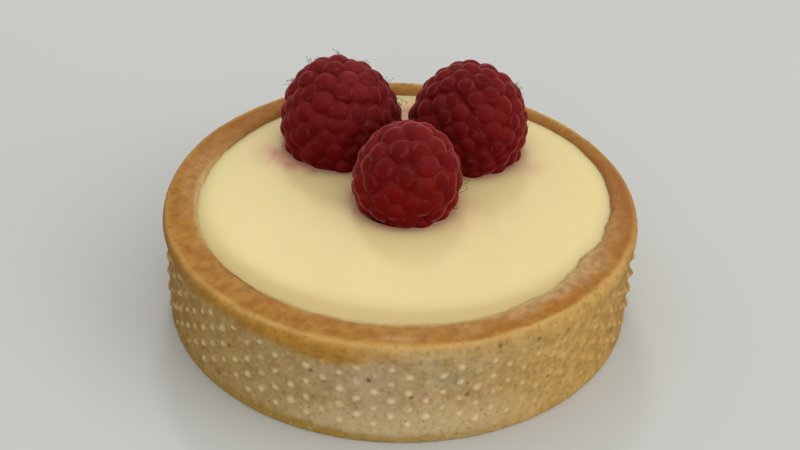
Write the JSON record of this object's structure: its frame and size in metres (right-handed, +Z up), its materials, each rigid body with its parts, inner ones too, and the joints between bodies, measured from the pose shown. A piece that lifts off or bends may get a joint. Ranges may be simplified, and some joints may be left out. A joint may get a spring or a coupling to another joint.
{
  "type": "lemon posset tartlet",
  "caption": "Round shortcrust tartlet baked in a perforated ring, filled to the brim with set lemon posset and topped with whole raspberries.",
  "frame": {"origin": "centre of the flat base, on the surface that the tartlet stands on", "axes": "+Z up; +Y from the single front berry towards the pair behind it; +X to the right as seen from the front"},
  "size_m": [0.0805, 0.0802, 0.035],
  "materials": {
    "shortcrust": "baked shortcrust: golden brown rim, paler grey tan wall with fine dark specks, matte",
    "posset": "smooth set cream, pale yellow, softly glossy",
    "raspberry": "fresh fruit, dark crimson, soft bloom over translucent flesh"
  },
  "bodies": {
    "root": {"tart_shell": "shortcrust", "posset_filling": "posset", "raspberry_left": "raspberry", "raspberry_right": "raspberry", "raspberry_front": "raspberry"}
  },
  "joints": []
}
